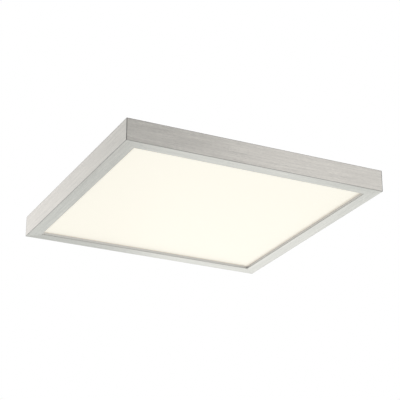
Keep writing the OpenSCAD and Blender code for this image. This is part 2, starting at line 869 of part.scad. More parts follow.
// The right keeper: a foot on the pan, a wall, and a lip that reaches in over the noses
module keeper() {
    color("silver") difference() {
        translate([0, keeper_l / 2, 0]) rotate([90, 0, 0]) linear_extrude(keeper_l)
            polygon([[keeper_x, z_pan], [keeper_x + keeper_foot, z_pan],
                     [keeper_x + keeper_foot, z_pan + keeper_t],
                     [keeper_x + keeper_t, z_pan + keeper_t], [keeper_x + keeper_t, keeper_top],
                     [keeper_lip_x, keeper_top], [keeper_lip_x, keeper_lip_z],
                     [keeper_x, keeper_lip_z]]);
        at_keeper_rivets() translate([0, 0, -lap])
            cylinder(h = keeper_t + 2 * lap, r = rivet_r + hole_clear);
    }
}

module keeper_right() { keeper(); }
module keeper_left() { mirror([1, 0, 0]) keeper(); }

module keeper_rivets() {
    color(zinc) at_keeper_rivets() {
        translate([0, 0, -pan_t]) cylinder(h = pan_t + keeper_t + lap, r = rivet_r);
        translate([0, 0, keeper_t]) cylinder(h = rivet_head_h, r1 = rivet_head_r, r2 = rivet_r);
    }
}

// A slot for a ceiling box screw, along Y
module box_slot() {
    run = box_slot_l - 2 * box_slot_r;
    for (side = [-1, 1]) {
        translate([0, side * run / 2, 0]) cylinder(h = plate_t + 2 * lap, r = box_slot_r);
    }
    translate([-box_slot_r, -run / 2, 0]) cube([2 * box_slot_r, run, plate_t + 2 * lap]);
}

// Outline of the plate from one side: flat on top, with a flange bent down at each edge
module plate_outline() {
    in = plate_bend - plate_t;
    x = flange_x - plate_bend;
    polygon(concat(
        [[flange_x, -flange_h]], arc([x, -plate_bend], plate_bend, 0, 90),
        arc([-x, -plate_bend], plate_bend, 90, 180), [[-flange_x, -flange_h]],
        [[plate_t - flange_x, -flange_h]], arc([-x, -plate_bend], in, 180, 90),
        arc([x, -plate_bend], in, 90, 0), [[flange_x - plate_t, -flange_h]]));
}

module at_catch_rivets() {
    for (side = [-1, 1]) {
        for (y = [-spring_at, spring_at]) {
            translate([side * flange_x, y, leg_rivet_z]) rotate([0, side * 90, 0])
                children();
        }
    }
}

module ceiling_plate() {
    color("silver") difference() {
        translate([0, plate_l / 2, 0]) rotate([90, 0, 0]) linear_extrude(plate_l) plate_outline();
        translate([0, 0, -plate_t - lap]) {
            cylinder(h = plate_t + 2 * lap, r = bush_r + hole_clear);
            for (side = [-1, 1]) {
                translate([0, side * box_pitch / 2, 0]) box_slot();
                for (y = [-1, 1]) {
                    translate([side * anchor_x / 2, y * anchor_y / 2, 0])
                        cylinder(h = plate_t + 2 * lap, r = anchor_r);
                }
            }
            translate([earth_at, -earth_at, 0])
                cylinder(h = plate_t + 2 * lap, r = earth_r + hole_clear);
        }
        at_catch_rivets() translate([0, 0, -plate_t - lap])
            cylinder(h = plate_t + 2 * lap, r = leg_rivet_r + hole_clear);
    }
}

// A leaf spring from one side: a leg on the flange, a nose that turns out and back in at 45 degrees
module spring_outline() {
    tip = [tip_x - nose_r * sqrt(2), nose_mid];
    low = [tip_x - nose_back, nose_mid - nose_back];
    polygon(concat(
        [[leg_x, leg_top], [leg_x, nose_top]], arc(tip, nose_r, 45, -45),
        [low, low + [-spring_t, spring_t] / sqrt(2)], arc(tip, nose_r - spring_t, -45, 45),
        [[flange_x, nose_top - spring_t * tan(22.5)], [flange_x, leg_top]]));
}

module catch_springs() {
    color("lightsteelblue") difference() {
        for (y = [-spring_at, spring_at]) {
            translate([0, y + spring_w / 2, 0]) rotate([90, 0, 0])
                linear_extrude(spring_w) spring_outline();
        }
        at_catch_rivets() translate([0, 0, -lap])
            cylinder(h = spring_t + 2 * lap, r = leg_rivet_r + hole_clear);
    }
}

module catch_springs_right() { catch_springs(); }
module catch_springs_left() { mirror([1, 0, 0]) catch_springs(); }

module catch_rivets() {
    color(zinc) at_catch_rivets() {
        translate([0, 0, -plate_t - lap])
            cylinder(h = plate_t + spring_t + 2 * lap, r = leg_rivet_r);
        translate([0, 0, spring_t]) cylinder(h = rivet_head_h, r1 = leg_head_r, r2 = leg_rivet_r);
        translate([0, 0, -plate_t - rivet_head_h])
            cylinder(h = rivet_head_h, r1 = leg_rivet_r, r2 = leg_head_r);
    }
}

module wire_bushing() {
    color("ivory") difference() {
        union() {
            translate([0, 0, -plate_t - lap]) cylinder(h = plate_t + lap, r = bush_r);
            translate([0, 0, -plate_t - bush_lip_t]) cylinder(h = bush_lip_t, r = bush_lip_r);
        }
        translate([0, 0, -plate_t - bush_lip_t - lap])
            cylinder(h = plate_t + bush_lip_t + 2 * lap, r = wire_r);
    }
}

module earth_screw() {
    color("darkseagreen") translate([earth_at, -earth_at, -plate_t]) mirror([0, 0, 1])
        pan_screw(earth_r, plate_t, earth_head_r, earth_head_h);
}

frame_front();
frame_back();
frame_left();
frame_right();
corner_key_front_left();
corner_key_front_right();
corner_key_back_right();
corner_key_back_left();
corner_screws();
diffuser();
light_guide();
reflector_sheet();
foam_sheet();
back_pan();
pan_screws();
led_board_left();
led_board_right();
leds_left();
leds_right();
led_socket_left();
led_socket_right();
led_plug_left();
led_plug_right();
lead_left();
lead_right();
lead_clips();
driver_tray();
driver_cover();
driver_board();
board_screws();
driver_screws();
transformer_core();
transformer_winding();
capacitors();
choke();
mains_terminal();
output_terminal();
keeper_left();
keeper_right();
keeper_rivets();
ceiling_plate();
catch_springs_left();
catch_springs_right();
catch_rivets();
wire_bushing();
earth_screw();
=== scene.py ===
"""Finishes a square surface-mounted ceiling light, and sets up the studio that it is shown in.

Metres, +Z up into the ceiling. The origin is the centre of the wire hole in the plane of the ceiling.
"""

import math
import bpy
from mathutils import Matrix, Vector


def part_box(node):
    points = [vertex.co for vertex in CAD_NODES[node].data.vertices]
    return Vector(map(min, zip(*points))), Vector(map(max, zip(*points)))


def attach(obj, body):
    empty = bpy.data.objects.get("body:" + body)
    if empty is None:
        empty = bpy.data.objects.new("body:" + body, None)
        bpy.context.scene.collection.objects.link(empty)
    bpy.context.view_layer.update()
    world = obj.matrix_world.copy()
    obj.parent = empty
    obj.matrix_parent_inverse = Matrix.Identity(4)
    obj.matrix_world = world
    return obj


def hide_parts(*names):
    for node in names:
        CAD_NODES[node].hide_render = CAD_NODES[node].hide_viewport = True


bl_info = {
    "name": "Square Ceiling Light Finishes",
    "version": (1, 0, 0),
    "blender": (4, 5, 0),
    "location": "View3D > Sidebar > Ceiling Light",
    "description": "Gives a square ceiling light its finishes, its leads and a plain studio",
    "category": "Material",
}

import bpy
from bpy.props import FloatProperty, FloatVectorProperty, PointerProperty
from mathutils import Matrix, Vector

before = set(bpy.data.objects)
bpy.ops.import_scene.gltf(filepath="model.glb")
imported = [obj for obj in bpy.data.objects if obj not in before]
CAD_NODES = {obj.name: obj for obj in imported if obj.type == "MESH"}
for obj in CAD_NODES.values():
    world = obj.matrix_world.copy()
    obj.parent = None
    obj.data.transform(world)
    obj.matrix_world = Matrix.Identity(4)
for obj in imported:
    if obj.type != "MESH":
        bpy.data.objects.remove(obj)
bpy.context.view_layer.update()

FRONT_LOW, FRONT_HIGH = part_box("frame_front")
HALF_WIDTH = FRONT_HIGH.x
RIM_FACE = FRONT_LOW.z
RIM_WIDTH = FRONT_HIGH.y - FRONT_LOW.y
FRAME_HEIGHT = FRONT_HIGH.z - FRONT_LOW.z
LIP_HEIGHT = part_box("diffuser")[0].z - RIM_FACE
MM = 0.001
LED_PITCH = 8 * MM


# Helpers


def linear(hex_colour):
    """Linear red, green and blue of an sRGB colour such as "#BEBBB4"."""
    values = [int(hex_colour[i : i + 2], 16) / 255 for i in (1, 3, 5)]
    return tuple(v / 12.92 if v <= 0.04045 else ((v + 0.055) / 1.055) ** 2.4 for v in values)


def rgba(colour):
    """A colour with full alpha, as shader sockets take it."""
    return (*colour[:3], 1.0)


def shade(colour, factor):
    """A linear colour, made darker or lighter by a factor."""
    return tuple(min(1.0, c * factor) for c in colour[:3])


def per_metre(size_mm):
    """Noise scale, in cells per metre, for cells of this size."""
    return 1000.0 / size_mm


def bands_per_metre(pitch_mm):
    """Wave scale for bands this far apart. At a scale of 1 the node makes 20 / (2 pi) in a metre."""
    return per_metre(pitch_mm) * 2 * math.pi / 20


def rows_per_metre(height_mm):
    """Brick scale for rows of this height. At a scale of 1 the node makes four in a metre."""
    return per_metre(height_mm) / 4


def result(source):
    """The socket that carries a node's result: the first one that its settings leave in use."""
    if isinstance(source, bpy.types.Node):
        return next(socket for socket in source.outputs if socket.enabled)
    return source


def add_node(tree, kind, inputs=None, to=None, **settings):
    """Adds a node and gives it its settings. Each input is set to a value, or linked to a socket or
    to another node's result. The new node's own result is linked to the socket in `to`."""
    node = tree.nodes.new(kind)
    for name, value in settings.items():
        setattr(node, name, value)
    for key, value in (inputs or {}).items():
        source = result(value)
        if isinstance(source, bpy.types.NodeSocket):
            tree.links.new(source, node.inputs[key])
        else:
            node.inputs[key].default_value = source
    if to is not None:
        tree.links.new(result(node), to)
    return node


def new_finish(name, **sockets):
    """A node material: its tree, its shader with constants set on it, and object coordinates. An
    underscore in the name of a shader's socket stands for a space."""
    material = bpy.data.materials.new(name)
    material.use_nodes = True
    tree = material.node_tree
    shader = tree.nodes["Principled BSDF"]
    for key, value in sockets.items():
        shader.inputs[key.replace("_", " ")].default_value = value
    place = add_node(tree, "ShaderNodeTexCoord").outputs["Object"]
    return material, tree, shader, place


def dress(material, *names):
    """Gives CAD nodes one finish on every face."""
    for name in names:
        if name not in CAD_NODES:
            raise RuntimeError(f"there is no piece named {name}")
        mesh = CAD_NODES[name].data
        mesh.materials.clear()
        mesh.materials.append(material)


def soften(*names, width_mm=0.35):
    """Rounds the sharp edges of CAD nodes a little, as a press or a mould leaves them."""
    for name in names:
        bevel = CAD_NODES[name].modifiers.new("edge", "BEVEL")
        bevel.width = width_mm * MM
        bevel.segments = 2
        bevel.limit_method = "ANGLE"
        bevel.angle_limit = math.radians(50)
        bevel.harden_normals = True


def settings():
    """This light's own settings, kept on the scene."""
    return bpy.context.scene.ceiling_light


# Settings


class BrushedNickelSettings(bpy.types.PropertyGroup):
    """The frame's finish."""

    colour: FloatVectorProperty(
        name="Colour", description="Colour of the brushed nickel", subtype="COLOR",
        size=3, min=0, max=1, default=linear("#DAD6D0"))
    band_length: FloatProperty(
        name="Band length", description="Length of a paler or darker band of brush marks, in mm",
        min=5, max=300, default=80)
    band_width: FloatProperty(
        name="Band width", description="Width of such a band across a rail, in mm",
        min=0.5, max=10, default=3.4)
    line_length: FloatProperty(
        name="Line length", description="Length of a long brush mark, in mm",
        min=5, max=200, default=60)
    line_width: FloatProperty(
        name="Line width", description="Width of a long brush mark, in mm",
        min=0.1, max=3, default=0.54)
    grain_length: FloatProperty(
        name="Grain length", description="Length of a short mark between the long ones, in mm",
        min=1, max=20, default=4)
    grain_width: FloatProperty(
        name="Grain width", description="Width of a short mark, in mm",
        min=0.1, max=3, default=0.6)
    line_share: FloatProperty(
        name="Share of the lines", description="How much the long marks show against the bands",
        subtype="FACTOR", min=0, max=1, default=0.55)
    grain_share: FloatProperty(
        name="Share of the grain", description="How much the short marks show against the longer",
        subtype="FACTOR", min=0, max=1, default=0.38)
    cloud_size: FloatProperty(
        name="Cloud size", description="Size of the places where all marks are fainter, in mm",
        min=5, max=100, default=26)
    contrast: FloatProperty(
        name="Contrast", description="How much darker or lighter the brush marks are",
        subtype="FACTOR", min=0, max=0.5, default=0.3)
    roughness: FloatProperty(
        name="Roughness", description="Roughness across the brush marks",
        subtype="FACTOR", min=0.05, max=0.95, default=0.38)
    roughness_swing: FloatProperty(
        name="Roughness swing", description="How far the marks move the roughness up and down",
        subtype="FACTOR", min=0, max=0.05, default=0.05)
    # A thin line along each folded edge is drawn darker than the face
    edge_width: FloatProperty(
        name="Edge width", description="Width of the unbrushed line on each folded edge, in mm",
        min=0.1, max=3, default=0.8)
    edge_tone: FloatProperty(
        name="Edge tone", description="Brightness of that line, as a share of the face's",
        subtype="FACTOR", min=0, max=1, default=0.5)
    seam_width: FloatProperty(
        name="Seam width", description="Width of the dark line at each mitred corner, in mm",
        min=0.1, max=3, default=1)
    seam_tone: FloatProperty(
        name="Seam tone", description="Brightness of the dark line, as a share of the face's",
        subtype="FACTOR", min=0, max=1, default=0.25)
    lip_blend: FloatProperty(
        name="Lip blend", description="Width over which the rim's finish gives way to the lip's, in mm",
        min=0.1, max=1, default=0.3)
    lip_colour: FloatVectorProperty(
        name="Lip colour", description="Colour of the lip that holds the panel", subtype="COLOR",
        size=3, min=0, max=1, default=linear("#DADADC"))
    # Painted shade: the lip is drawn darker at its rim end, away from the lit panel
    lip_shade_at_rim: FloatProperty(
        name="Lip by the rim", description="Brightness of the lip's lower end, as a share of its colour",
        subtype="FACTOR", min=0, max=1, default=0.78)


class OpalPanelSettings(bpy.types.PropertyGroup):
    """The lit diffuser."""

    colour: FloatVectorProperty(
        name="Sheet colour", description="Colour of the opal sheet when it isn't lit",
        subtype="COLOR", size=3, min=0, max=1, default=linear("#C4C2BA"))
    glow: FloatVectorProperty(
        name="Light", description="Colour of the light that comes through the sheet",
        subtype="COLOR", size=3, min=0, max=1, default=linear("#FFF6E6"))
    # Painted shade: the sheet's colour is darkened in the band beside the frame
    shaded_edge_colour: FloatVectorProperty(
        name="Colour at the edges", description="Colour of the sheet close to the frame",
        subtype="COLOR", size=3, min=0, max=1, default=linear("#B8AFA3"))
    edge_glow: FloatVectorProperty(
        name="Light at the edges", description="Colour of the light close to the frame",
        subtype="COLOR", size=3, min=0, max=1, default=linear("#DCD0C0"))
    strength: FloatProperty(
        name="Strength", description="Strength of the light that comes through the sheet",
        min=0, max=10, default=0.57)
    fall_off: FloatProperty(
        name="Fall-off", description="Width of the warmer band along the frame, in mm",
        min=1, max=60, default=5)


class SheetMetalSettings(bpy.types.PropertyGroup):
    """The pressed steel parts behind the panel."""

    coat: FloatVectorProperty(
        name="Powder coat", description="Colour of the pan and the driver's cover",
        subtype="COLOR", size=3, min=0, max=1, default=linear("#DEDEDA"))
    zinc: FloatVectorProperty(
        name="Zinc plate", description="Colour of the plated steel parts",
        subtype="COLOR", size=3, min=0, max=1, default=linear("#C3C7CB"))


class LeadSettings(bpy.types.PropertyGroup):
    """The two leads to the LED boards."""

    jacket: FloatVectorProperty(
        name="Jacket", description="Colour of the leads' jacket", subtype="COLOR",
        size=3, min=0, max=1, default=linear("#C6C8C9"))


class StudioSettings(bpy.types.PropertyGroup):
    """Floor, lamps and camera."""

    floor_colour: FloatVectorProperty(
        name="Floor colour", description="Colour of the floor", subtype="COLOR",
        size=3, min=0, max=1, default=linear("#ECF2F2"))
    floor_lift: FloatProperty(
        name="Floor lift", description="How much lighter the floor is where it is seen or reflected",
        min=0, max=1, default=0.2)
    floor_drop: FloatProperty(
        name="Floor drop", description="Distance from the ceiling down to the floor",
        unit="LENGTH", min=0.5, max=6, default=2.4)
    sky: FloatProperty(
        name="Room light", description="Strength of the even light on matt surfaces",
        min=0, max=2, default=0.72)
    backdrop: FloatProperty(
        name="Backdrop", description="Strength of the white backdrop, seen and in reflections",
        min=0, max=2, default=1.0)
    camera_at: FloatVectorProperty(
        name="Camera", description="Place of the camera", subtype="TRANSLATION",
        size=3, default=(-0.7879, -1.6333, -0.7537))
    camera_heading: FloatProperty(
        name="Heading", description="Turn of the camera about the vertical",
        subtype="ANGLE", default=math.radians(-25.897))
    camera_tilt: FloatProperty(
        name="Tilt", description="Angle by which the camera looks up", subtype="ANGLE",
        default=math.radians(22.342))
    camera_roll: FloatProperty(
        name="Roll", description="Turn of the camera about its own axis", subtype="ANGLE",
        default=math.radians(0.163))
    camera_lens: FloatProperty(
        name="Lens", description="Focal length of the camera on a 36 mm sensor",
        unit="CAMERA", min=20, max=400, default=123.08)


class CeilingLightSettings(bpy.types.PropertyGroup):
    """All settings of the light."""

    nickel: PointerProperty(type=BrushedNickelSettings)
    panel: PointerProperty(type=OpalPanelSettings)
    steel: PointerProperty(type=SheetMetalSettings)
    leads: PointerProperty(type=LeadSettings)
    studio: PointerProperty(type=StudioSettings)


# Metal finishes

# The brush marks' mixed noise mostly stays this close to its middle value of 0.5
MARK_SPREAD = 0.125


def inset(tree, split, which):
    """Node for how far in a place is from the frame's outside, in metres: from the nearer of the
    two sides that meet at its corner with MAXIMUM, and from the other with MINIMUM."""
    across = add_node(tree, "ShaderNodeMath", {0: split.outputs["X"]}, operation="ABSOLUTE")
    along = add_node(tree, "ShaderNodeMath", {0: split.outputs["Y"]}, operation="ABSOLUTE")
    reach = add_node(tree, "ShaderNodeMath", {0: across, 1: along}, operation=which)
    return add_node(tree, "ShaderNodeMath", {0: HALF_WIDTH, 1: reach}, operation="SUBTRACT")


def near(tree, distances, width_mm, core=0.3):
    """Node that is 1 where the sum of some distances is within a core, which is a share of a width
    in mm, and 0 beyond that width."""
    total = distances[0]
    for distance in distances[1:]:
        total = add_node(tree, "ShaderNodeMath", {0: total, 1: distance}, operation="ADD")
    return add_node(
        tree, "ShaderNodeMapRange",
        {"Value": total, "From Min": core * width_mm * MM, "From Max": width_mm * MM,
         "To Min": 1.0, "To Max": 0.0}, interpolation_type="SMOOTHSTEP")


def streaks(tree, place, size_mm, detail, roughness=0.5):
    """Noise drawn out into marks of a size in x, y and z, as brushing or rolling leaves them."""
    stretch = tuple(per_metre(size) for size in size_mm)
    drawn = add_node(tree, "ShaderNodeMapping", {"Vector": place, "Scale": stretch})
    return add_node(
        tree, "ShaderNodeTexNoise",
        {"Vector": drawn, "Scale": 1.0, "Detail": detail, "Roughness": roughness})


def brushed_nickel(name, along):
    """Nickel plate on an aluminium rail, brushed along its length under a thin lacquer.

    The brush marks run with the rail as long pale and dark lines with short ones between them, and
    spread reflections across them. Each folded edge is drawn as a thin darker line, and the mitre is
    a dark line at each corner. The lip that holds the panel is bare aluminium, cooler in colour, with
    painted shade that makes it darker towards the rim, away from the lit panel. Real marks are 0.1 mm
    wide. The lines and short marks are drawn 0.5 and 0.6 mm wide so that they show close by, in
    bands 3.4 mm wide that show from further off.
    """
    use = settings().nickel
    material, tree, shader, place = new_finish(
        name, Metallic=1.0, Anisotropic=0.5, Anisotropic_Rotation=0.25)
    brushed = []
    for length, width in (
        (use.band_length, use.band_width), (use.line_length, use.line_width),
        (use.grain_length, use.grain_width),
    ):
        size = (length, width, width) if along == "X" else (width, length, width)
        brushed.append(streaks(tree, place, size, detail=3.0, roughness=0.6))
    bands, lines, grain = brushed
    long_marks = add_node(
        tree, "ShaderNodeMix", {"Factor": use.line_share, "A": bands, "B": lines},
        data_type="FLOAT")
    all_marks = add_node(
        tree, "ShaderNodeMix", {"Factor": use.grain_share, "A": long_marks, "B": grain},
        data_type="FLOAT")
    marks = add_node(
        tree, "ShaderNodeMapRange",
        {"Value": all_marks, "From Min": 0.5 - MARK_SPREAD, "From Max": 0.5 + MARK_SPREAD})
    tone = add_node(
        tree, "ShaderNodeMix",
        {"Factor": marks, "A": rgba(shade(use.colour, 1 - use.contrast)),
         "B": rgba(shade(use.colour, 1 + use.contrast))}, data_type="RGBA")
    clouds = add_node(
        tree, "ShaderNodeTexNoise",
        {"Vector": place, "Scale": per_metre(use.cloud_size), "Detail": 2.0})
    wiped = add_node(
        tree, "ShaderNodeMix", {"Factor": clouds, "A": tone, "B": rgba(use.colour)},
        data_type="RGBA")
    split = add_node(tree, "ShaderNodeSeparateXYZ", {0: place})
    depth = inset(tree, split, "MAXIMUM")
    corner = inset(tree, split, "MINIMUM")
    height = add_node(
        tree, "ShaderNodeMath", {0: split.outputs["Z"], 1: RIM_FACE}, operation="SUBTRACT")
    below_top = add_node(tree, "ShaderNodeMath", {0: FRAME_HEIGHT, 1: height}, operation="SUBTRACT")
    from_lip = add_node(tree, "ShaderNodeMath", {0: RIM_WIDTH, 1: depth}, operation="SUBTRACT")
    # Painted shade on the lip: darker by the rim, full colour next to the lit panel
    rise = add_node(
        tree, "ShaderNodeMapRange", {"Value": height, "From Min": 0.0, "From Max": LIP_HEIGHT})
    lip = add_node(
        tree, "ShaderNodeMix",
        {"Factor": rise, "A": rgba(shade(use.lip_colour, use.lip_shade_at_rim)), "B": rgba(use.lip_colour)},
        data_type="RGBA")
    edge = rgba(shade(use.colour, use.edge_tone))
    seam = rgba(shade(use.colour, use.seam_tone))
    finish = wiped
    # Over the brushed colour: the lip's finish, a darker line along each folded edge, and the dark mitre
    # seam
    for distances, width, over in (
        ((from_lip,), use.lip_blend, lip),
        ((depth, height), use.edge_width, edge),
        ((from_lip, height), use.edge_width, edge),
        ((depth, below_top), use.edge_width, edge),
        ((depth, corner), use.seam_width, seam),
    ):
        finish = add_node(
            tree, "ShaderNodeMix",
            {"Factor": near(tree, distances, width), "A": finish, "B": over}, data_type="RGBA")
    tree.links.new(result(finish), shader.inputs["Base Color"])
    add_node(
        tree, "ShaderNodeMapRange",
        {"Value": marks, "To Min": use.roughness - use.roughness_swing,
         "To Max": use.roughness + use.roughness_swing}, to=shader.inputs["Roughness"])
    add_node(
        tree, "ShaderNodeCombineXYZ",
        {"X": float(along == "X"), "Y": float(along == "Y"), "Z": 0.0},
        to=shader.inputs["Tangent"])
    add_node(
        tree, "ShaderNodeBump", {"Height": lines, "Strength": 0.25, "Distance": 0.02 * MM},
        to=shader.inputs["Normal"])
    return material


def zinc_plated_steel(name, line_mm=(1.2, 60, 60), bloom_mm=14):
    """Pressed steel sheet, electroplated with bright zinc and blue-passivated.

    It reads as a cool, even metal with soft reflections, faint rolling lines and the pale bloom of
    the passivation.
    """
    material, tree, shader, place = new_finish(name, Metallic=1.0)
    lines = streaks(tree, place, line_mm, detail=2.0)
    bloom = add_node(
        tree, "ShaderNodeTexNoise", {"Vector": place, "Scale": per_metre(bloom_mm), "Detail": 4.0})
    zinc = settings().steel.zinc
    both = add_node(tree, "ShaderNodeMath", {0: lines, 1: bloom}, operation="ADD")
    tone = add_node(tree, "ShaderNodeMapRange", {"Value": both, "From Min": 0.7, "From Max": 1.3})
    add_node(
        tree, "ShaderNodeMix",
        {"Factor": tone, "A": rgba(shade(zinc, 0.84)), "B": rgba(shade(zinc, 1.04))},
        to=shader.inputs["Base Color"], data_type="RGBA")
    add_node(
        tree, "ShaderNodeMapRange", {"Value": bloom, "To Min": 0.26, "To Max": 0.46},
        to=shader.inputs["Roughness"])
    add_node(
        tree, "ShaderNodeBump", {"Height": lines, "Strength": 0.15, "Distance": 0.02 * MM},
        to=shader.inputs["Normal"])
    return material


def die_cast_zinc(name, grain_mm=2.5):
    """Zinc alloy as it leaves the die: dull grey, with a slightly mottled, grainy skin."""
    material, tree, shader, place = new_finish(name, Metallic=1.0, Roughness=0.52)
    skin = add_node(
        tree, "ShaderNodeTexNoise", {"Vector": place, "Scale": per_metre(grain_mm), "Detail": 5.0})
    grey = linear("#A9ABAD")
    add_node(
        tree, "ShaderNodeMix",
        {"Factor": skin, "A": rgba(shade(grey, 0.8)), "B": rgba(shade(grey, 1.15))},
        to=shader.inputs["Base Color"], data_type="RGBA")
    add_node(
        tree, "ShaderNodeBump", {"Height": skin, "Strength": 0.4, "Distance": 0.05 * MM},
        to=shader.inputs["Normal"])
    return material


def plated_screw_steel(name, hex_colour, wear_mm=1.6):
    """Cold-headed steel with a thin plated finish, brighter where the driver bit has rubbed it."""
    material, tree, shader, place = new_finish(name, Metallic=1.0)
    worn = add_node(
        tree, "ShaderNodeTexNoise", {"Vector": place, "Scale": per_metre(wear_mm), "Detail": 3.0})
    steel = linear(hex_colour)
    add_node(
        tree, "ShaderNodeMix",
        {"Factor": worn, "A": rgba(shade(steel, 0.78)), "B": rgba(shade(steel, 1.2))},
        to=shader.inputs["Base Color"], data_type="RGBA")
    add_node(
        tree, "ShaderNodeMapRange", {"Value": worn, "To Min": 0.2, "To Max": 0.42},
        to=shader.inputs["Roughness"])
    return material


def tempered_spring_steel(name, line_mm=(30, 0.7, 30), heat_mm=9):
    """Cold-rolled spring strip, tempered to a blue grey that drifts to straw in patches."""
    material, tree, shader, place = new_finish(name, Metallic=1.0, Roughness=0.27, Anisotropic=0.3)
    lines = streaks(tree, place, line_mm, detail=2.0)
    heat = add_node(
        tree, "ShaderNodeTexNoise", {"Vector": place, "Scale": per_metre(heat_mm), "Detail": 1.0})
    tint = add_node(
        tree, "ShaderNodeMix",
        {"Factor": heat, "A": rgba(linear("#8C98A6")), "B": rgba(linear("#A89F90"))},
        data_type="RGBA")
    add_node(
        tree, "ShaderNodeMix", {"Factor": lines, "A": rgba(linear("#7F8994")), "B": tint},
        to=shader.inputs["Base Color"], data_type="RGBA")
    return material


def white_powder_coat(name, peel_mm=1.6, drift_mm=70):
    """Polyester powder baked on steel: a warm white with the fine dimples of orange peel."""
    material, tree, shader, place = new_finish(name, Roughness=0.46, IOR=1.5)
    peel = add_node(
        tree, "ShaderNodeTexNoise", {"Vector": place, "Scale": per_metre(peel_mm), "Detail": 1.0})
    drift = add_node(
        tree, "ShaderNodeTexNoise", {"Vector": place, "Scale": per_metre(drift_mm), "Detail": 2.0})
    coat = settings().steel.coat
    add_node(
        tree, "ShaderNodeMix",
        {"Factor": drift, "A": rgba(shade(coat, 0.92)), "B": rgba(shade(coat, 1.06))},
        to=shader.inputs["Base Color"], data_type="RGBA")
    add_node(
        tree, "ShaderNodeBump", {"Height": peel, "Strength": 0.5, "Distance": 0.12 * MM},
        to=shader.inputs["Normal"])
    return material


# Optical finishes


def lit_opal_acrylic(name, grain_mm=0.8):
    """Extruded opal acrylic with a satin face, lit from behind.

    The eye sees one even, warm white field with no hot spots. In a band beside the frame its light
    turns a little warmer and dimmer, where less light comes through, and the sheet's own colour there
    is darkened as painted shade from the frame.
    """
    use = settings().panel
    material, tree, shader, place = new_finish(
        name, Roughness=0.4, IOR=1.49, Emission_Strength=use.strength)
    split = add_node(tree, "ShaderNodeSeparateXYZ", {0: place})
    depth = inset(tree, split, "MAXIMUM")
    inside = add_node(
        tree, "ShaderNodeMapRange",
        {"Value": depth, "From Min": RIM_WIDTH, "From Max": RIM_WIDTH + use.fall_off * MM},
        interpolation_type="SMOOTHSTEP")
    add_node(
        tree, "ShaderNodeMix", {"Factor": inside, "A": rgba(use.edge_glow), "B": rgba(use.glow)},
        to=shader.inputs["Emission Color"], data_type="RGBA")
    grain = add_node(
        tree, "ShaderNodeTexNoise", {"Vector": place, "Scale": per_metre(grain_mm), "Detail": 2.0})
    # The sheet's colour, with painted shade in the band beside the frame
    sheet = add_node(
        tree, "ShaderNodeMix",
        {"Factor": inside, "A": rgba(use.shaded_edge_colour), "B": rgba(use.colour)}, data_type="RGBA")
    add_node(
        tree, "ShaderNodeMix", {"Factor": grain, "A": sheet, "B": rgba(shade(use.colour, 0.98))},
        to=shader.inputs["Base Color"], data_type="RGBA")
    add_node(
        tree, "ShaderNodeBump", {"Height": grain, "Strength": 0.1, "Distance": 0.02 * MM},
        to=shader.inputs["Normal"])
    return material


def clear_acrylic(name, dot_pitch_mm=2.4):
    """Polished clear acrylic with a grid of white dots printed on its back.

    The dots turn light from the edges out of the sheet. Seen on the edge it is clear and faintly
    green, and on the face it is veiled by the dots.
    """
    material, tree, shader, place = new_finish(
        name, Roughness=0.03, IOR=1.49, Transmission_Weight=0.9)
    dots = add_node(
        tree, "ShaderNodeTexVoronoi",
        {"Vector": place, "Scale": per_metre(dot_pitch_mm), "Randomness": 0.0})
    dot = add_node(
        tree, "ShaderNodeMapRange",
        {"Value": dots, "From Min": 0.24, "From Max": 0.3, "To Min": 1.0, "To Max": 0.0})
    add_node(
        tree, "ShaderNodeMix",
        {"Factor": dot, "A": rgba(linear("#EAF5F1")), "B": rgba(linear("#FBFBF8"))},
        to=shader.inputs["Base Color"], data_type="RGBA")
    add_node(
        tree, "ShaderNodeMapRange", {"Value": dot, "To Min": 0.03, "To Max": 0.6},
        to=shader.inputs["Roughness"])
    return material


def reflector_film(name, wave_mm=45):
    """Microvoided white polyester film: a bright, matt white with a faint satin sheen."""
    material, tree, shader, place = new_finish(name, Roughness=0.62)
    wave = add_node(
        tree, "ShaderNodeTexNoise", {"Vector": place, "Scale": per_metre(wave_mm), "Detail": 1.0})
    add_node(
        tree, "ShaderNodeMix",
        {"Factor": wave, "A": rgba(linear("#F2F3F3")), "B": rgba(linear("#FAFAF9"))},
        to=shader.inputs["Base Color"], data_type="RGBA")
    return material


def closed_cell_foam(name, cell_mm=0.8):
    """Cross-linked polyethylene foam: dark grey, dull, with cells about 0.8 mm across."""
    material, tree, shader, place = new_finish(name, Roughness=0.88)
    cells = add_node(tree, "ShaderNodeTexVoronoi", {"Vector": place, "Scale": per_metre(cell_mm)})
    add_node(
        tree, "ShaderNodeMix",
        {"Factor": cells, "A": rgba(linear("#45464A")), "B": rgba(linear("#6A6B6F"))},
        to=shader.inputs["Base Color"], data_type="RGBA")
    add_node(
        tree, "ShaderNodeBump", {"Height": cells, "Strength": 0.6, "Distance": 0.15 * MM},
        to=shader.inputs["Normal"])
    return material


# Electrical finishes


def moulded_plastic(name, hex_colour, roughness, texture_mm, flow_mm=7):
    """Injection-moulded plastic: an even body colour with faint flow marks and a spark-eroded
    texture, fine on terminals and coarser on clips."""
    material, tree, shader, place = new_finish(name, Roughness=roughness, IOR=1.5)
    flow = add_node(
        tree, "ShaderNodeTexNoise", {"Vector": place, "Scale": per_metre(flow_mm), "Distortion": 0.8})
    body = linear(hex_colour)
    add_node(
        tree, "ShaderNodeMix",
        {"Factor": flow, "A": rgba(shade(body, 0.93)), "B": rgba(shade(body, 1.05))},
        to=shader.inputs["Base Color"], data_type="RGBA")
    spark = add_node(
        tree, "ShaderNodeTexNoise", {"Vector": place, "Scale": per_metre(texture_mm), "Detail": 2.0})
    add_node(
        tree, "ShaderNodeBump", {"Height": spark, "Strength": 0.3, "Distance": 0.03 * MM},
        to=shader.inputs["Normal"])
    return material


